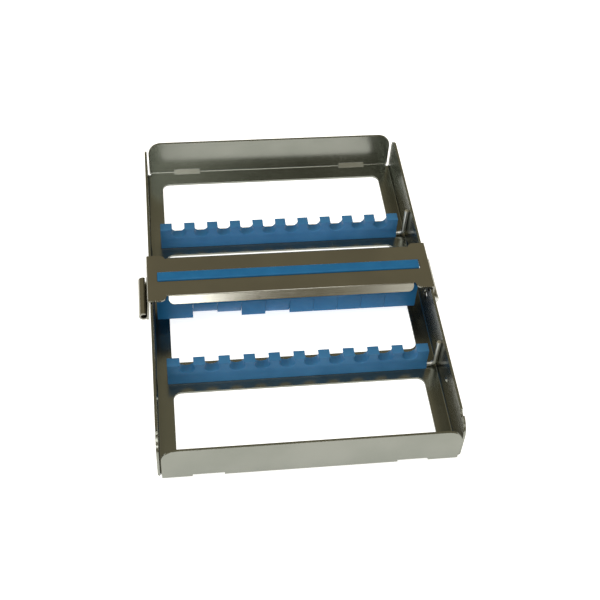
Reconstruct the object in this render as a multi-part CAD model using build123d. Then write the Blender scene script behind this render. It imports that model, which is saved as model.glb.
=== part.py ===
from build123d import *
import math
import os

os.makedirs("parts", exist_ok=True)

# ---------------------------------------------------------------- driving dimensions (mm)
# X runs across the tray, Y from front to back, Z up. The origin is the middle of the underside.
TRAY_WIDTH = 125.0
TRAY_LENGTH = 180.0
TRAY_HEIGHT = 20.0
SHEET = 1.0                   # tray sheet thickness
BEND_INNER = 0.6              # inside radius of the base bends
WALL_END_RADIUS = 6.5         # rounded upper ends of every wall
CORNER_SLIT = 1.7             # how far each wall stops short of the corner
RELIEF_RADIUS = 0.9           # bend-relief hole at the foot of each corner

OPENING_HALF_WIDTH = 54.5
OPENING_OUTER_Y = 80.3        # far edge of the front and rear openings
CROSSBAR_OUTER_Y = 48.0       # crossbar edge at the front or rear opening
CROSSBAR_INNER_Y = 32.0       # crossbar edge at the middle opening
RACK_Y = 40.0
OPENING_CORNER = 3.5

SIDE_NOTCH_Y = -80.5          # half-round notch in the top edge of each side wall
SIDE_NOTCH_RADIUS = 1.8
DIMPLE_Y = -56.8              # round dimple pressed inwards in each side wall
DIMPLE_Z = 10.4
DIMPLE_RADIUS = 1.8           # of the sphere it follows
DIMPLE_HEIGHT = 0.55

INDENT_X = 42.0               # stacking indents across the front and back bends
INDENT_LENGTH = 13.0
INDENT_HEIGHT = 0.8

HINGE_X = 65.05               # hinge axis, along Y
HINGE_Z = 10.2
HINGE_DIP_HALF = 13.1         # dip in the right wall that lets the bar swing
HINGE_DIP_Z = 15.5
HINGE_DIP_CORNER = 1.2
LUG_INNER_Y = 10.7
LUG_RADIUS = 2.1
LANCE_GAP = 0.15              # cut around the blank of each lug

CATCH_Z = 13.1                # catch bead on the left wall
CATCH_PROUD = 0.6
CATCH_HALF_HEIGHT = 0.7
CATCH_LENGTH = 8.0

NOTCH_COUNT = 10
NOTCH_PITCH = 10.75
NOTCH_RADIUS = 3.4
NOTCH_CENTRE_Z = 10.1
RACK_HALF_LENGTH = 56.7
RACK_TOP = 12.0
RACK_TOP_HALF = 2.25          # half thickness of the teeth
RACK_FOOT_HALF = 3.5          # half thickness at the foot
RACK_FLARE_Z = 5.5            # where the foot starts to flare

RAIL_RADIUS = 1.0             # wire under each rack
RAIL_SHIFT = -1.5             # the wire lies in front of the rack's middle
RAIL_BEND = 2.5               # centre-line bend radius
RAIL_LEG_X = 60.47            # the upright stands inside the right wall
RAIL_LEFT_X = -55.5           # the other end stops inside the rack
RAIL_TOP = 17.0
RAIL_LIFT = 0.02
RAIL_PLAY = 0.05              # play between wire and rack

BAR_SHEET = 0.8
BAR_UNDER = 20.4
BAR_HALF_WIDTH = 13.4         # along Y, at the flat ends
BAR_SHIFT = 0.5               # lips, slot and strip sit a little behind the bar's middle
EAR_TOP_X = 62.75             # inside face of an ear under the top plate
WING_INNER_X = 55.2
WING_CORNER = 3.0
WING_BEND = 0.7               # outside radius where an ear leaves the top
LIP_BEND_Y = 10.7
LIP_HEIGHT = 3.6              # down the 45 degree slope
LIP_HALF_LENGTH = 54.4
LIP_CORNER = 2.6
SLOT_HALF_LENGTH = 59.0
SLOT_HALF_WIDTH = 2.7
ROLL_BORE = 1.3               # inside radius of finger lip and hinge barrel
ROLL_SWEEP = 300.0
FINGER_LIP_X = 65.8           # centre of the finger lip's roll
FINGER_LIP_Z = 8.0
FINGER_LIP_HALF = 10.7
BARREL_HALF = 10.4
NECK_TOP_Z = 14.6             # the right ear narrows below here
EAR_CORNER = 1.5
WINDOW_HALF_LENGTH = 4.6
WINDOW_HALF_HEIGHT = 1.1

STRIP_LEFT_X = -59.7
STRIP_RIGHT_X = 56.2
STRIP_OUTER_Y = 12.1
STRIP_FOOT = 6.5
STRIP_WALL = 1.6
STRIP_SHOULDER = 1.6          # 45 degree shoulders under the bar's lips
RIB_HALF_WIDTH = 2.5
RIB_TOP = 21.9
RIB_ROUND = 0.6
RIB_LEFT_X = -58.9
RIB_RIGHT_X = 58.4
FINGER_SHIFT = -1.0            # the fingers sit a little to the left of the notches
FINGER_SLIT = 0.12
FINGER_SLIT_TOP = 15.5

PIN_RADIUS = 1.25             # 0.05 running clearance in the barrel
PIN_HEAD_RADIUS = 2.0
PIN_HEAD_HEIGHT = 0.7

# ---------------------------------------------------------------- derived places
HALF_W = TRAY_WIDTH / 2
HALF_L = TRAY_LENGTH / 2
BEND_OUTER = BEND_INNER + SHEET
LUG_OUTER_Y = LUG_INNER_Y + SHEET
BAR_TOP = BAR_UNDER + BAR_SHEET
EAR_OUTER_X = EAR_TOP_X + BAR_SHEET
ROLL_OUTER = ROLL_BORE + BAR_SHEET
SIDES = (-1, 1)


def folded_shell():
    """The folded sheet with its four walls, before anything is cut from it."""
    outer = Pos(0, 0, TRAY_HEIGHT) * Box(TRAY_WIDTH, TRAY_LENGTH, 2 * TRAY_HEIGHT)
    outer = fillet(outer.faces().sort_by(Axis.Z)[0].edges(), BEND_OUTER)
    inner = Box(TRAY_WIDTH - 2 * SHEET, TRAY_LENGTH - 2 * SHEET, 2 * TRAY_HEIGHT)
    inner = Pos(0, 0, TRAY_HEIGHT + SHEET) * inner
    inner = fillet(inner.faces().sort_by(Axis.Z)[0].edges(), BEND_INNER)
    below_rim = Pos(0, 0, TRAY_HEIGHT / 2) * Box(TRAY_WIDTH, TRAY_LENGTH, TRAY_HEIGHT)
    return (outer - inner) & below_rim


def rounded_end_cutter(length):
    """What lies outside the rounded upper ends of a wall that runs along X."""
    full = Pos(0, TRAY_HEIGHT / 2 + 1) * Rectangle(length + 2, TRAY_HEIGHT + 2)
    outline = fillet(Rectangle(length, 2 * TRAY_HEIGHT).vertices(), WALL_END_RADIUS)
    waste = extrude(Plane.XZ * (full - outline), SHEET, both=True)
    keep = Pos(0, 0, TRAY_HEIGHT / 2 + BEND_OUTER) * Box(length + 4, 4 * SHEET, TRAY_HEIGHT)
    return waste & keep


def wall_end_cuts():
    """Corner slits, relief holes and the rounded upper ends of the walls."""
    cuts = []
    for sx in SIDES:
        for sy in SIDES:
            slit = Box(2 * CORNER_SLIT, 2 * CORNER_SLIT, 3 * TRAY_HEIGHT)
            cuts.append(Pos(sx * HALF_W, sy * HALF_L, 0) * slit)
            hole = Cylinder(RELIEF_RADIUS, 4 * SHEET)
            cuts.append(Pos(sx * (HALF_W - CORNER_SLIT), sy * (HALF_L - CORNER_SLIT), 0) * hole)
    for sx in SIDES:
        side = Rot(0, 0, 90) * rounded_end_cutter(TRAY_LENGTH - 2 * CORNER_SLIT)
        cuts.append(Pos(sx * HALF_W, 0, 0) * side)
    for sy in SIDES:
        end = rounded_end_cutter(TRAY_WIDTH - 2 * CORNER_SLIT)
        cuts.append(Pos(0, sy * HALF_L, 0) * end)
    return cuts


def base_opening(y_low, y_high):
    """One rounded opening through the base."""
    outline = Rectangle(2 * OPENING_HALF_WIDTH, y_high - y_low)
    outline = fillet(outline.vertices(), OPENING_CORNER)
    return Pos(0, (y_low + y_high) / 2, -SHEET) * extrude(outline, 3 * SHEET)


def stacking_indent(side_x, side_y):
    """A facet pressed across a bend: the outer cut and the inner fill."""
    reach = BEND_OUTER + INDENT_HEIGHT
    depth = reach - (2 - math.sqrt(2)) * SHEET
    outer = make_face(Plane.YZ * Polyline((0, 0), (reach, 0), (0, reach), close=True))
    inner = make_face(Plane.YZ * Polyline((0, 0), (depth, 0), (0, depth), close=True))
    turn = Rot(0, 0, 0) if side_y < 0 else Rot(0, 0, 180)
    place = Pos(side_x * INDENT_X, side_y * HALF_L, 0) * turn
    lining = Pos(side_x * INDENT_X, side_y * (HALF_L - SHEET), SHEET) * turn
    cut = place * extrude(outer, INDENT_LENGTH / 2, both=True)
    fill = lining * extrude(inner, INDENT_LENGTH / 2, both=True)
    return cut, fill


def hinge_dip():
    """The dip in the right wall's top edge, as a solid to cut away."""
    height = 2 * (TRAY_HEIGHT - HINGE_DIP_Z)
    outline = fillet(Rectangle(2 * HINGE_DIP_HALF, height).vertices(), HINGE_DIP_CORNER)
    cutter = extrude(Plane.YZ * outline, 2 * SHEET, both=True)
    return Pos(HALF_W, 0, TRAY_HEIGHT) * cutter


def lug_blank(radius, length):
    """Outline of a flat lug: a strip with a round end, in its own plane."""
    strip = Pos(length / 2, 0) * Rectangle(length, 2 * radius)
    return strip + Pos(length, 0) * Circle(radius)


def hinge_lug(side):
    """One lug bent out of the right wall, with its pin hole."""
    reach = HINGE_X - (HALF_W - SHEET)
    flat = lug_blank(LUG_RADIUS, reach) - Pos(reach, 0) * Circle(PIN_RADIUS)
    solid = extrude(Plane.XZ * flat, SHEET / 2, both=True)
    return Pos(HALF_W - SHEET, side * (LUG_INNER_Y + SHEET / 2), HINGE_Z) * solid


def lance_window(side):
    """The window that a lug leaves in the right wall."""
    reach = HINGE_X - HALF_W
    flat = lug_blank(LUG_RADIUS + LANCE_GAP, reach)
    cutter = extrude(Plane.YZ * flat, 2 * SHEET, both=True)
    turn = Rot(0, 0, 180) if side > 0 else Rot(0, 0, 0)
    return Pos(HALF_W, side * LUG_INNER_Y, HINGE_Z) * turn * cutter


def catch_bead():
    """A low bead pressed out of the left wall, under the bar's window."""
    corners = [(0, -CATCH_HALF_HEIGHT), (-CATCH_PROUD, 0), (0, CATCH_HALF_HEIGHT)]
    profile = make_face(Plane.XZ * Polyline(*corners, close=True))
    bead = extrude(profile, CATCH_LENGTH / 2, both=True)
    return Pos(-HALF_W, 0, CATCH_Z) * bead


def wall_dimple(side):
    """The dome a dimple raises inside one side wall, and the hollow it leaves outside."""
    centre = Pos(side * (HALF_W - SHEET + DIMPLE_RADIUS - DIMPLE_HEIGHT), DIMPLE_Y, DIMPLE_Z)
    wall = Pos(side * (HALF_W - SHEET), DIMPLE_Y, DIMPLE_Z) * Box(SHEET, 6, 6)
    turned = centre * Rot(0, 0, 90)
    dome = turned * Sphere(DIMPLE_RADIUS) & wall
    return dome, turned * Sphere(DIMPLE_RADIUS - SHEET)


def tray_frame():
    """The folded tray with its openings, hinge lugs and catch bead, in one sheet."""
    tray = folded_shell()
    for sx in SIDES:
        for sy in SIDES:
            cut, fill = stacking_indent(sx, sy)
            tray += fill
            tray -= cut
    for cut in wall_end_cuts():
        tray -= cut
    tray -= base_opening(CROSSBAR_OUTER_Y, OPENING_OUTER_Y)
    tray -= base_opening(-CROSSBAR_INNER_Y, CROSSBAR_INNER_Y)
    tray -= base_opening(-OPENING_OUTER_Y, -CROSSBAR_OUTER_Y)
    across = TRAY_WIDTH + 2
    notch = Rot(0, 90, 0) * Cylinder(SIDE_NOTCH_RADIUS, across)
    tray -= Pos(0, SIDE_NOTCH_Y, TRAY_HEIGHT) * notch
    tray -= hinge_dip()
    for side in SIDES:
        dome, hollow = wall_dimple(side)
        tray += dome
        tray -= hollow
        tray -= lance_window(side)
        tray += hinge_lug(side)
    return tray + catch_bead()


def rack_rail(rack_y):
    """L-bent wire welded across the base and up the right wall."""
    z = SHEET + RAIL_RADIUS + RAIL_LIFT
    points = [(RAIL_LEFT_X, 0, z), (RAIL_LEG_X, 0, z), (RAIL_LEG_X, 0, RAIL_TOP)]
    path = FilletPolyline(*points, radius=RAIL_BEND)
    section = Plane(origin=points[0], z_dir=(1, 0, 0)) * Circle(RAIL_RADIUS)
    return Pos(0, rack_y + RAIL_SHIFT, 0) * sweep(section, path=path)


def rack_section():
    """End view of a rack: straight teeth on a foot that flares in a hollow curve."""
    top_right = (RACK_TOP_HALF, RACK_TOP)
    flare_right = (RACK_TOP_HALF, RACK_FLARE_Z)
    foot_right = (RACK_FOOT_HALF, SHEET)
    top_left = (-RACK_TOP_HALF, RACK_TOP)
    flare_left = (-RACK_TOP_HALF, RACK_FLARE_Z)
    foot_left = (-RACK_FOOT_HALF, SHEET)
    outline = [
        Line(top_left, top_right),
        Line(top_right, flare_right),
        TangentArc(flare_right, foot_right, tangent=(0, -1)),
        Line(foot_right, foot_left),
        TangentArc(flare_left, foot_left, tangent=(0, -1)),
        Line(flare_left, top_left),
    ]
    return Plane.YZ * make_face(outline)


def rack(rack_y):
    """Silicone comb with eleven teeth, hollowed underneath for its rail."""
    comb = extrude(rack_section(), RACK_HALF_LENGTH, both=True)
    groove = Rot(90, 0, 0) * Cylinder(NOTCH_RADIUS, 4 * RACK_FOOT_HALF)
    for index in range(NOTCH_COUNT):
        x = (index - (NOTCH_COUNT - 1) / 2) * NOTCH_PITCH
        comb -= Pos(x, 0, NOTCH_CENTRE_Z) * groove
    length = 2 * RACK_HALF_LENGTH + 2
    wire_z = SHEET + RAIL_RADIUS + RAIL_LIFT
    bore = Rot(0, 90, 0) * Cylinder(RAIL_RADIUS + RAIL_PLAY, length)
    comb -= Pos(0, RAIL_SHIFT, wire_z) * bore
    mouth = Box(length, 2 * (RAIL_RADIUS + RAIL_PLAY), 2 * (wire_z - SHEET))
    comb -= Pos(0, RAIL_SHIFT, SHEET) * mouth
    return Pos(0, rack_y, 0) * comb


def roll(x, z, half_length):
    """A tube rolled outwards from the foot of an ear, open over its last part."""
    ring = Circle(ROLL_OUTER) - Circle(ROLL_BORE)
    gap = math.radians(360.0 - ROLL_SWEEP)
    far = 2 * ROLL_OUTER
    tip = (-far * math.cos(gap), far * math.sin(gap))
    wedge = make_face(Polyline((0, 0), (-far, 0), tip, close=True))
    tube = extrude(Plane.XZ * (ring - wedge), half_length, both=True)
    return Pos(x, 0, z) * tube


def ear_plate(z_low, z_high, half_width, roll_x, roll_z):
    """A piece of an ear, which slopes outwards down to its roll."""
    slope = (roll_x - ROLL_OUTER - EAR_TOP_X) / (BAR_UNDER - roll_z)
    x_low = EAR_TOP_X + (BAR_UNDER - z_low) * slope
    x_high = EAR_TOP_X + (BAR_UNDER - z_high) * slope
    corners = [(x_low, z_low), (x_low + BAR_SHEET, z_low)]
    corners += [(x_high + BAR_SHEET, z_high), (x_high, z_high)]
    return extrude(Plane.XZ * make_face(Polyline(*corners, close=True)), half_width, both=True)


def latch_ear():
    """The left ear: full width, with the catch window and the finger lip."""
    ear = ear_plate(FINGER_LIP_Z, BAR_UNDER, BAR_HALF_WIDTH, FINGER_LIP_X, FINGER_LIP_Z)
    ear = fillet(ear.edges().filter_by(Axis.X).group_by(Axis.Z)[0], EAR_CORNER)
    window = Box(4 * BAR_SHEET, 2 * WINDOW_HALF_LENGTH, 2 * WINDOW_HALF_HEIGHT)
    window = fillet(window.edges().filter_by(Axis.X), 0.4)
    ear -= Pos(EAR_OUTER_X, 0, CATCH_Z) * window
    return Rot(0, 0, 180) * (ear + roll(FINGER_LIP_X, FINGER_LIP_Z, FINGER_LIP_HALF))


def hinge_ear():
    """The right ear: it narrows between the lugs and ends in the hinge barrel."""
    wide = ear_plate(NECK_TOP_Z, BAR_UNDER, BAR_HALF_WIDTH, HINGE_X, HINGE_Z)
    wide = fillet(wide.edges().filter_by(Axis.X).group_by(Axis.Z)[0], EAR_CORNER)
    neck = ear_plate(HINGE_Z, NECK_TOP_Z + 1, BARREL_HALF, HINGE_X, HINGE_Z)
    return wide + neck + roll(HINGE_X, HINGE_Z, BARREL_HALF)


def bar_lip(side):
    """One lip sloping down at 45 degrees, rounded at its ends."""
    outline = Pos(0, -LIP_HEIGHT / 2) * Rectangle(2 * LIP_HALF_LENGTH, LIP_HEIGHT)
    outline = fillet(outline.vertices().group_by(Axis.Y)[0], LIP_CORNER)
    plate = Rot(45, 0, 0) * extrude(outline, BAR_SHEET)
    quarter = Rot(0, 90, 0) * Cylinder(BAR_SHEET, 2 * LIP_HALF_LENGTH)
    above = Pos(0, -BAR_SHEET, BAR_SHEET) * Box(4 * LIP_HALF_LENGTH, 2 * BAR_SHEET, 2 * BAR_SHEET)
    lip = Pos(0, -LIP_BEND_Y, BAR_UNDER) * (plate + (quarter & above))
    turned = lip if side < 0 else Rot(0, 0, 180) * lip
    return Pos(0, BAR_SHIFT, 0) * turned


def bar_wing(side):
    """One flat end of the bar, wider than its middle."""
    length = EAR_OUTER_X - WING_INNER_X
    outline = Rectangle(length, 2 * BAR_HALF_WIDTH)
    inner = outline.vertices().group_by(Axis.X)[0 if side > 0 else -1]
    outline = fillet(inner, WING_CORNER)
    return Pos(side * (WING_INNER_X + length / 2), 0, BAR_UNDER) * extrude(outline, BAR_SHEET)


def lock_bar():
    """The hinged bar in one sheet."""
    middle = Box(2 * WING_INNER_X + 2, 2 * LIP_BEND_Y, BAR_SHEET)
    bar = Pos(0, BAR_SHIFT, BAR_UNDER + BAR_SHEET / 2) * middle
    for side in SIDES:
        bar += bar_wing(side)
        bar += bar_lip(side)
    bar += latch_ear()
    bar += hinge_ear()
    slot = fillet(Rectangle(2 * SLOT_HALF_LENGTH, 2 * SLOT_HALF_WIDTH).vertices(), 0.8)
    bar -= Pos(0, BAR_SHIFT, BAR_UNDER - BAR_SHEET) * extrude(slot, 3 * BAR_SHEET)
    ends = bar.edges().filter_by(Axis.Y).filter_by(
        lambda edge: edge.center().Z > BAR_TOP - 0.01 and abs(edge.center().X) > EAR_OUTER_X - 0.01
    )
    return fillet(ends, WING_BEND)


def strip_section():
    """Cross-section of the strip's channel, as a closed outline in Y and Z."""
    shoulder_y = STRIP_OUTER_Y - STRIP_SHOULDER
    inner_y = STRIP_OUTER_Y - STRIP_WALL
    half = [
        (shoulder_y, BAR_UNDER),
        (STRIP_OUTER_Y, BAR_UNDER - STRIP_SHOULDER),
        (STRIP_OUTER_Y, STRIP_FOOT),
        (inner_y, STRIP_FOOT),
        (inner_y, BAR_UNDER - STRIP_WALL - 1.2),
        (inner_y - 1.2, BAR_UNDER - STRIP_WALL),
    ]
    mirrored = [(-y, z) for y, z in reversed(half)]
    return make_face(Plane.YZ * Polyline(*(half + mirrored), close=True))


def hold_down_strip():
    """Silicone channel with a rib through the bar's slot and two rows of fingers."""
    length = STRIP_RIGHT_X - STRIP_LEFT_X
    middle_x = (STRIP_LEFT_X + STRIP_RIGHT_X) / 2
    channel = Pos(middle_x, 0, 0) * extrude(strip_section(), length / 2, both=True)
    rib_length = RIB_RIGHT_X - RIB_LEFT_X
    rib_low = BAR_UNDER - STRIP_WALL
    rib = Box(rib_length, 2 * RIB_HALF_WIDTH, RIB_TOP - rib_low)
    rib = fillet(rib.edges().filter_by(Axis.X).group_by(Axis.Z)[-1], RIB_ROUND)
    channel += Pos(RIB_LEFT_X + rib_length / 2, 0, (RIB_TOP + rib_low) / 2) * rib
    slit_height = FINGER_SLIT_TOP - STRIP_FOOT + 1
    slit = Box(FINGER_SLIT, 4 * STRIP_OUTER_Y, slit_height)
    for index in range(NOTCH_COUNT - 1):
        x = (index - (NOTCH_COUNT - 2) / 2) * NOTCH_PITCH + FINGER_SHIFT
        channel -= Pos(x, 0, FINGER_SLIT_TOP - slit_height / 2) * slit
    return Pos(0, BAR_SHIFT, 0) * channel


def hinge_pin():
    """Headed pin, fixed in the two lugs."""
    shank = Cylinder(PIN_RADIUS, 2 * LUG_OUTER_Y)
    for side in SIDES:
        head = Cylinder(PIN_HEAD_RADIUS, PIN_HEAD_HEIGHT)
        rim = head.edges().group_by(Axis.Z)[-1 if side > 0 else 0]
        head = fillet(rim, 0.45)
        shank += Pos(0, 0, side * (LUG_OUTER_Y + PIN_HEAD_HEIGHT / 2)) * head
    return Pos(HINGE_X, 0, HINGE_Z) * Rot(90, 0, 0) * shank


NODES = {
    "tray_frame": tray_frame(),
    "rear_rack_rail": rack_rail(RACK_Y),
    "front_rack_rail": rack_rail(-RACK_Y),
    "rear_rack": rack(RACK_Y),
    "front_rack": rack(-RACK_Y),
    "lock_bar": lock_bar(),
    "hold_down_strip": hold_down_strip(),
    "hinge_pin": hinge_pin(),
}

for name, shape in NODES.items():
    shape.label = name
    export_step(shape, f"parts/{name}.step")
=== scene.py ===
"""Instrument tray: folded steel cassette with silicone racks and a hinged hold-down bar."""

import logging
import math
from collections.abc import Callable
from dataclasses import dataclass
from enum import Enum

import bpy
from mathutils import Matrix, Vector


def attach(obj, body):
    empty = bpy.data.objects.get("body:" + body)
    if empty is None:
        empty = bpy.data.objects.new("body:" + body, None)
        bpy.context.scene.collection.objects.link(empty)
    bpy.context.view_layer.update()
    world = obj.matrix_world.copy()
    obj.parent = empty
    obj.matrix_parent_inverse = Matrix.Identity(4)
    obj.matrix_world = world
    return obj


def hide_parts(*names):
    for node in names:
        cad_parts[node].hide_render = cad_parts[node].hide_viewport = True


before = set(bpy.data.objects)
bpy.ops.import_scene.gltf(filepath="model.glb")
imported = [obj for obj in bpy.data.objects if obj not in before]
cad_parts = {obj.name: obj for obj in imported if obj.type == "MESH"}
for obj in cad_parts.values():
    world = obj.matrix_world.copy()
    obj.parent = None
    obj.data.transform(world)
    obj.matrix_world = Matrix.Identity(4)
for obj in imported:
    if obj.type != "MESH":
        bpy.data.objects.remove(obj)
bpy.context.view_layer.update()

LOG = logging.getLogger("instrument_tray")
MM = 0.001
CREASE_ANGLE = math.radians(35.0)
FLAT_ANGLE = math.radians(0.6)
MERGE_DISTANCE = 0.002 * MM
NOISE_LOW, NOISE_HIGH = 0.3, 0.7
Colour = tuple[float, float, float]
Triple = tuple[float, float, float]


class Grain(Enum):
    """The direction in which a sheet was brushed, as scales across X, Y and Z."""

    ALONG_X = (30.0, 2600.0, 2600.0)
    ALONG_Y = (2600.0, 30.0, 2600.0)
    AROUND_WIRE = (1500.0, 1500.0, 120.0)


def deselect_everything() -> None:
    """Leave object mode as the only mode, with nothing selected."""
    if bpy.context.object is not None and bpy.context.object.mode != "OBJECT":
        bpy.ops.object.mode_set(mode="OBJECT")
    bpy.ops.object.select_all(action="DESELECT")


def make_active(piece: bpy.types.Object) -> None:
    """Select one piece alone, ready for the operators."""
    deselect_everything()
    piece.select_set(True)
    bpy.context.view_layer.objects.active = piece


class NodeSheet:
    """A material's node tree, with short ways to add and join its nodes."""

    def __init__(self, name: str) -> None:
        """Start a material.

        Args:
            name: the material's name.
        """
        self.material = bpy.data.materials.new(name)
        self.material.use_nodes = True
        self.tree = self.material.node_tree
        self.shader = self.tree.nodes["Principled BSDF"]

    def add(self, kind: str, **settings: object) -> bpy.types.Node:
        """Add a node and set its properties or inputs.

        Args:
            kind: Blender's node type name.
            settings: node properties, or input values by lower-case name.

        Returns:
            The new node.
        """
        node = self.tree.nodes.new(kind)
        for key, value in settings.items():
            if hasattr(node, key):
                setattr(node, key, value)
            else:
                node.inputs[key.replace("_", " ").title()].default_value = value
        return node

    def join(self, source: bpy.types.NodeSocket, target: bpy.types.NodeSocket) -> None:
        """Join two sockets."""
        self.tree.links.new(source, target)

    def stretched_noise(
        self, scales: Triple, detail: float, roughness: float = 0.5
    ) -> bpy.types.NodeSocket:
        """Add noise on object coordinates, drawn out along its smaller scales.

        Args:
            scales: repeats per metre along X, Y and Z.
            detail: the noise's octaves.
            roughness: how strong its fine octaves are.

        Returns:
            The noise's factor socket.
        """
        coordinates = self.add("ShaderNodeTexCoord")
        mapping = self.add("ShaderNodeMapping")
        mapping.inputs["Scale"].default_value = scales
        noise = self.add("ShaderNodeTexNoise", scale=1.0, detail=detail, roughness=roughness)
        self.join(coordinates.outputs["Object"], mapping.inputs["Vector"])
        self.join(mapping.outputs["Vector"], noise.inputs["Vector"])
        return noise.outputs["Fac"]

    def remap(self, source: bpy.types.NodeSocket, low: float, high: float) -> bpy.types.NodeSocket:
        """Spread a noise's middle range over low to high.

        Args:
            source: a factor socket.
            low: result where the factor is NOISE_LOW.
            high: result where the factor is NOISE_HIGH.

        Returns:
            The result socket.
        """
        spread = self.add("ShaderNodeMapRange")
        spread.inputs["From Min"].default_value = NOISE_LOW
        spread.inputs["From Max"].default_value = NOISE_HIGH
        spread.inputs["To Min"].default_value = low
        spread.inputs["To Max"].default_value = high
        self.join(source, spread.inputs["Value"])
        return spread.outputs["Result"]

    def tint(self, source: bpy.types.NodeSocket, dark: Colour, light: Colour) -> None:
        """Colour the shader between two tones.

        Args:
            source: the factor socket that leads.
            dark: the tone where the factor is low.
            light: the tone where the factor is high.
        """
        ramp = self.add("ShaderNodeValToRGB")
        low, high = ramp.color_ramp.elements
        low.position, low.color = NOISE_LOW, (*dark, 1.0)
        high.position, high.color = NOISE_HIGH, (*light, 1.0)
        self.join(source, ramp.inputs["Fac"])
        self.join(ramp.outputs["Color"], self.shader.inputs["Base Color"])

    def bump(
        self,
        height: bpy.types.NodeSocket,
        strength: float,
        depth: float,
        beneath: bpy.types.NodeSocket | None = None,
    ) -> bpy.types.NodeSocket:
        """Add a bump layer.

        Args:
            height: the height socket.
            strength: how much of the bump shows.
            depth: the bump's depth in metres.
            beneath: the normal that the bump lies on.

        Returns:
            The bumped normal socket.
        """
        node = self.add("ShaderNodeBump")
        node.inputs["Strength"].default_value = strength
        node.inputs["Distance"].default_value = depth
        self.join(height, node.inputs["Height"])
        if beneath is not None:
            self.join(beneath, node.inputs["Normal"])
        return node.outputs["Normal"]


@dataclass(frozen=True)
class BrushedSteel:
    """Bright rolled stainless sheet: fine grain, faint clouding and softened cut edges."""

    name: str
    grain: Grain
    dark: Colour
    light: Colour
    smooth: float
    rough: float
    edge_radius: float = 0.25 * MM
    cloud_scales: Triple = (38.0, 38.0, 38.0)
    scuff_scales: Triple = (210.0, 160.0, 210.0)
    least_wear: float = -0.01
    most_wear: float = 0.03
    brush_depth: float = 0.004 * MM
    cloud_depth: float = 0.15 * MM

    def make(self) -> bpy.types.Material:
        """Build the finish.

        Returns:
            The finished material.
        """
        sheet = NodeSheet(self.name)
        sheet.shader.inputs["Metallic"].default_value = 1.0
        streaks = sheet.stretched_noise(self.grain.value, 2.0, 0.5)
        clouds = sheet.stretched_noise(self.cloud_scales, 3.0)
        scuffs = sheet.stretched_noise(self.scuff_scales, 5.0, 0.7)
        sheet.tint(clouds, self.dark, self.light)
        grain_rough = sheet.remap(streaks, self.smooth, self.rough)
        wear = sheet.remap(scuffs, self.least_wear, self.most_wear)
        total = sheet.add("ShaderNodeMath", operation="ADD")
        sheet.join(grain_rough, total.inputs[0])
        sheet.join(wear, total.inputs[1])
        sheet.join(total.outputs["Value"], sheet.shader.inputs["Roughness"])
        rounded = sheet.add("ShaderNodeBevel", samples=4)
        rounded.inputs["Radius"].default_value = self.edge_radius
        brushed = sheet.bump(streaks, 0.06, self.brush_depth, rounded.outputs["Normal"])
        rolled = sheet.bump(clouds, 0.04, self.cloud_depth, brushed)
        sheet.join(rolled, sheet.shader.inputs["Normal"])
        return sheet.material


@dataclass(frozen=True)
class Silicone:
    """Moulded silicone rubber: satin skin with fine grain, faint mottling and bloom."""

    name: str
    dark: Colour
    light: Colour
    smooth: float = 0.38
    rough: float = 0.56
    mottling_scales: Triple = (90.0, 90.0, 90.0)
    skin_scales: Triple = (2300.0, 2300.0, 2300.0)
    bloom_scales: Triple = (420.0, 420.0, 420.0)
    skin_depth: float = 0.03 * MM
    mottling_depth: float = 0.15 * MM

    def make(self) -> bpy.types.Material:
        """Build the finish.

        Returns:
            The finished material.
        """
        sheet = NodeSheet(self.name)
        sheet.shader.inputs["IOR"].default_value = 1.42
        sheet.shader.inputs["Specular IOR Level"].default_value = 0.25
        sheet.shader.inputs["Subsurface Weight"].default_value = 0.12
        sheet.shader.inputs["Subsurface Scale"].default_value = 0.8 * MM
        mottling = sheet.stretched_noise(self.mottling_scales, 4.0)
        skin = sheet.stretched_noise(self.skin_scales, 3.0, 0.6)
        bloom = sheet.stretched_noise(self.bloom_scales, 4.0, 0.65)
        sheet.tint(mottling, self.dark, self.light)
        sheet.join(sheet.remap(bloom, self.smooth, self.rough), sheet.shader.inputs["Roughness"])
        grained = sheet.bump(skin, 0.22, self.skin_depth)
        mottled = sheet.bump(mottling, 0.10, self.mottling_depth, grained)
        sheet.join(mottled, sheet.shader.inputs["Normal"])
        return sheet.material


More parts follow.
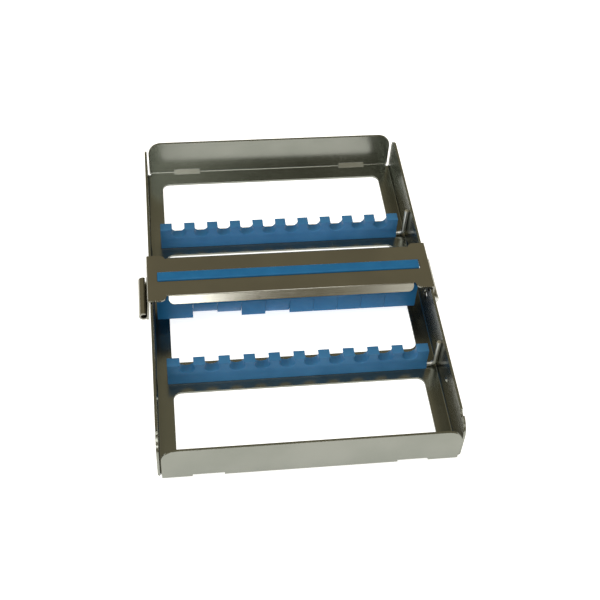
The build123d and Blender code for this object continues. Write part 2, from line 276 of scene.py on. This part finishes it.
class Moulding:
    """A silicone piece taken from its plain solid, with moulded edges."""

    def __init__(self, node: str, name: str, edge: float) -> None:
        """Take a merged copy of a plain solid.

        Args:
            node: the plain solid's node.
            name: the new piece's name.
            edge: radius of the moulded edges, in metres.
        """
        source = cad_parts[node]
        self.node = node
        self.edge = edge
        self.piece = bpy.data.objects.new(name, source.data.copy())
        self.piece.data.name = name
        bpy.context.scene.collection.objects.link(self.piece)
        make_active(self.piece)
        bpy.ops.object.mode_set(mode="EDIT")
        bpy.ops.mesh.select_all(action="SELECT")
        bpy.ops.mesh.remove_doubles(threshold=MERGE_DISTANCE)
        bpy.ops.mesh.dissolve_limited(angle_limit=FLAT_ANGLE)
        bpy.ops.object.mode_set(mode="OBJECT")

    def soften(self) -> None:
        """Round every sharp edge."""
        make_active(self.piece)
        rounding = self.piece.modifiers.new("moulded_edges", "BEVEL")
        rounding.width = self.edge
        rounding.segments = 3
        rounding.limit_method = "ANGLE"
        rounding.angle_limit = CREASE_ANGLE
        rounding.miter_outer = "MITER_ARC"
        bpy.ops.object.modifier_apply(modifier=rounding.name)
        bpy.ops.object.shade_smooth_by_angle(angle=CREASE_ANGLE)

    def slice_level(self, height: float) -> None:
        """Cut a loop of edges round the piece.

        Args:
            height: the height of the cut, in metres.
        """
        make_active(self.piece)
        bpy.ops.object.mode_set(mode="EDIT")
        bpy.ops.mesh.select_all(action="SELECT")
        bpy.ops.mesh.bisect(plane_co=(0.0, 0.0, height), plane_no=(0.0, 0.0, 1.0))
        bpy.ops.object.mode_set(mode="OBJECT")

    def finish(self, material: bpy.types.Material, body: str) -> None:
        """Dress the piece and hand it over in place of its plain solid.

        Args:
            material: the piece's finish.
            body: the body that it moves with.
        """
        self.piece.data.materials.clear()
        self.piece.data.materials.append(material)
        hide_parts(self.node)
        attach(self.piece, body)


@dataclass
class InstrumentRacks:
    """The two grooved silicone racks."""

    edge: float = 0.2 * MM

    def build(self, material: bpy.types.Material) -> int:
        """Make both racks.

        Args:
            material: the silicone finish.

        Returns:
            How many racks were made.
        """
        places = ("rear", "front")
        for place in places:
            rack = Moulding(f"{place}_rack", f"{place}_rack_moulding", self.edge)
            rack.soften()
            rack.finish(material, "tray")
        return len(places)


@dataclass(frozen=True)
class LeaningFinger:
    """One finger of the strip that has taken a set from use."""

    left: float
    right: float
    degrees: float


@dataclass
class HoldDownStrip:
    """The silicone channel under the bar, with two rows of fingers."""

    edge: float = 0.06 * MM
    root_height: float = 15.4 * MM
    foot_height: float = 6.5 * MM
    levels: int = 6
    fingers: tuple[LeaningFinger, ...] = (
        LeaningFinger(-44.0 * MM, -33.25 * MM, 20.0),
        LeaningFinger(-33.25 * MM, -22.5 * MM, 15.0),
        LeaningFinger(-11.75 * MM, -1.0 * MM, 9.0),
    )

    def lean(self, piece: bpy.types.Object, finger: LeaningFinger) -> None:
        """Bend one front finger back in a smooth curve.

        Args:
            piece: the strip.
            finger: which finger, and how far its foot turns.
        """
        length = self.root_height - self.foot_height
        full = math.radians(finger.degrees)
        for vertex in piece.data.vertices:
            place = vertex.co
            beside = finger.left < place.x < finger.right
            if not beside or place.y > 0.0 or place.z >= self.root_height:
                continue
            down = self.root_height - place.z
            angle = full * down / length
            place.y += down * math.sin(angle)
            place.z += down * (1.0 - math.cos(angle))

    def build(self, material: bpy.types.Material) -> int:
        """Make the strip.

        Args:
            material: the silicone finish.

        Returns:
            How many fingers lean.
        """
        strip = Moulding("hold_down_strip", "hold_down_strip_moulding", self.edge)
        strip.soften()
        step = (self.root_height - self.foot_height) / self.levels
        for level in range(1, self.levels):
            strip.slice_level(self.foot_height + level * step)
        for finger in self.fingers:
            self.lean(strip.piece, finger)
        strip.piece.data.update()
        strip.finish(material, "bar")
        return len(self.fingers)


@dataclass
class SteelParts:
    """The steel pieces, which keep their plain solids' shapes."""

    tray: tuple[str, ...] = ("tray_frame",)
    bar: tuple[str, ...] = ("lock_bar",)
    wire: tuple[str, ...] = ("rear_rack_rail", "front_rack_rail", "hinge_pin")

    @staticmethod
    def dress(nodes: tuple[str, ...], material: bpy.types.Material) -> int:
        """Give nodes one finish.

        Args:
            nodes: the nodes' names.
            material: the finish.

        Returns:
            How many nodes were dressed.
        """
        for node in nodes:
            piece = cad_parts[node]
            if not piece.material_slots:
                piece.data.materials.append(material)
            for slot in piece.material_slots:
                slot.material = material
        return len(nodes)


@dataclass(frozen=True)
class Softbox:
    """One soft light, turned towards the tray."""

    name: str
    place: Triple
    width: float
    height: float
    watts: float

    def hang(self) -> str:
        """Hang the light.

        Returns:
            The light's name.
        """
        lamp = bpy.data.lights.new(self.name, "AREA")
        lamp.shape = "RECTANGLE"
        lamp.size, lamp.size_y = self.width, self.height
        lamp.energy = self.watts
        stand = bpy.data.objects.new(self.name, lamp)
        bpy.context.scene.collection.objects.link(stand)
        stand.location = self.place
        stand.rotation_euler = (-Vector(self.place)).to_track_quat("-Z", "Y").to_euler()
        return self.name


@dataclass
class Studio:
    """Pale floor, soft lights and the camera."""

    floor_size: float = 6.0
    floor_drop: float = 0.05 * MM
    floor_tone: float = 0.9
    floor_glow: float = 0.78
    sky: Colour = (0.39, 0.345, 0.235)
    lens: float = 67.33
    sensor: float = 36.0
    place: Triple = (-0.05303, -0.33113, 0.39348)
    right: Triple = (0.99213, -0.11409, 0.05158)
    up: Triple = (0.05360, 0.75929, 0.64854)
    forward: Triple = (0.11316, 0.64067, -0.75943)
    lights: tuple[Softbox, ...] = (
        Softbox("key_softbox", (-0.95, -0.25, 0.95), 0.7, 0.7, 6.0),
        Softbox("front_softbox", (-0.20, -1.18, 1.02), 0.46, 0.3, 3.0),
        Softbox("right_softbox", (1.1, -0.1, 0.8), 0.6, 0.6, 2.5),
        Softbox("top_softbox", (0.0, -0.15, 1.3), 0.5, 0.5, 3.0),
        Softbox("low_strip", (0.48, -1.12, 0.98), 0.32, 0.4, 0.6),
    )

    def lay_floor(self) -> None:
        """Lay the plain floor under the tray."""
        deselect_everything()
        bpy.ops.mesh.primitive_plane_add(
            size=self.floor_size, location=(0.0, 0.0, -self.floor_drop)
        )
        floor = bpy.context.object
        floor.name = "studio_floor"
        sheet = NodeSheet("pale_floor")
        sheet.shader.inputs["Base Color"].default_value = (*(self.floor_tone,) * 3, 1.0)
        sheet.shader.inputs["Roughness"].default_value = 0.9
        sheet.shader.inputs["Specular IOR Level"].default_value = 0.1
        sheet.shader.inputs["Emission Color"].default_value = (1.0, 1.0, 1.0, 1.0)
        sheet.shader.inputs["Emission Strength"].default_value = self.floor_glow
        floor.data.materials.append(sheet.material)

    def set_camera(self) -> None:
        """Place the camera."""
        data = bpy.data.cameras.new("camera")
        data.lens = self.lens
        data.sensor_width = self.sensor
        data.clip_start = 0.01
        camera = bpy.data.objects.new("camera", data)
        bpy.context.scene.collection.objects.link(camera)
        right, up, forward = Vector(self.right), Vector(self.up), Vector(self.forward)
        turn = Matrix((right, up, -forward)).transposed().to_4x4()
        camera.matrix_world = Matrix.Translation(self.place) @ turn
        bpy.context.scene.camera = camera

    def build(self) -> int:
        """Set up the whole studio.

        Returns:
            How many lights hang in it.
        """
        self.set_camera()
        self.lay_floor()
        world = bpy.data.worlds.new("studio_air")
        world.use_nodes = True
        world.node_tree.nodes["Background"].inputs["Color"].default_value = (*self.sky, 1.0)
        bpy.context.scene.world = world
        for light in self.lights:
            light.hang()
        bpy.context.scene.view_settings.view_transform = "Standard"
        bpy.context.scene.view_settings.look = "None"
        return len(self.lights)


def report(piece: str, make: Callable[[], object]) -> None:
    """Run one stage of the making and report it.

    Args:
        piece: what is made.
        make: the call that makes it.
    """
    LOG.info("%s: %s", piece, make())


def main() -> None:
    """Build the studio and dress or replace every piece of the tray."""
    logging.basicConfig(level=logging.INFO)
    tray_steel = BrushedSteel(
        "tray_sheet", Grain.ALONG_Y, (0.198, 0.209, 0.182), (0.234, 0.242, 0.215), 0.19, 0.25
    )
    bar_steel = BrushedSteel(
        "bar_sheet", Grain.ALONG_X, (0.225, 0.222, 0.196), (0.268, 0.264, 0.228), 0.11, 0.17
    )
    wire_steel = BrushedSteel(
        "drawn_wire", Grain.AROUND_WIRE, (0.55, 0.56, 0.54), (0.63, 0.64, 0.62), 0.28, 0.38
    )
    # The racks take a paler, greyer copy of the strip's blue: partly dust, partly painted bounce
    # light that brightens their faces.
    rack_blue_dust_and_painted_bounce = Silicone("rack_silicone_dust_and_painted_bounce", (0.034, 0.150, 0.325), (0.048, 0.185, 0.385))
    blue = Silicone("blue_silicone", (0.011, 0.122, 0.300), (0.017, 0.152, 0.360))
    parts = SteelParts()
    report("studio", Studio().build)
    report("tray sheet", lambda: parts.dress(parts.tray, tray_steel.make()))
    report("bar sheet", lambda: parts.dress(parts.bar, bar_steel.make()))
    report("wire and pin", lambda: parts.dress(parts.wire, wire_steel.make()))
    report("racks", lambda: InstrumentRacks().build(rack_blue_dust_and_painted_bounce.make()))
    report("hold-down strip", lambda: HoldDownStrip().build(blue.make()))


if __name__ == "__main__":
    main()
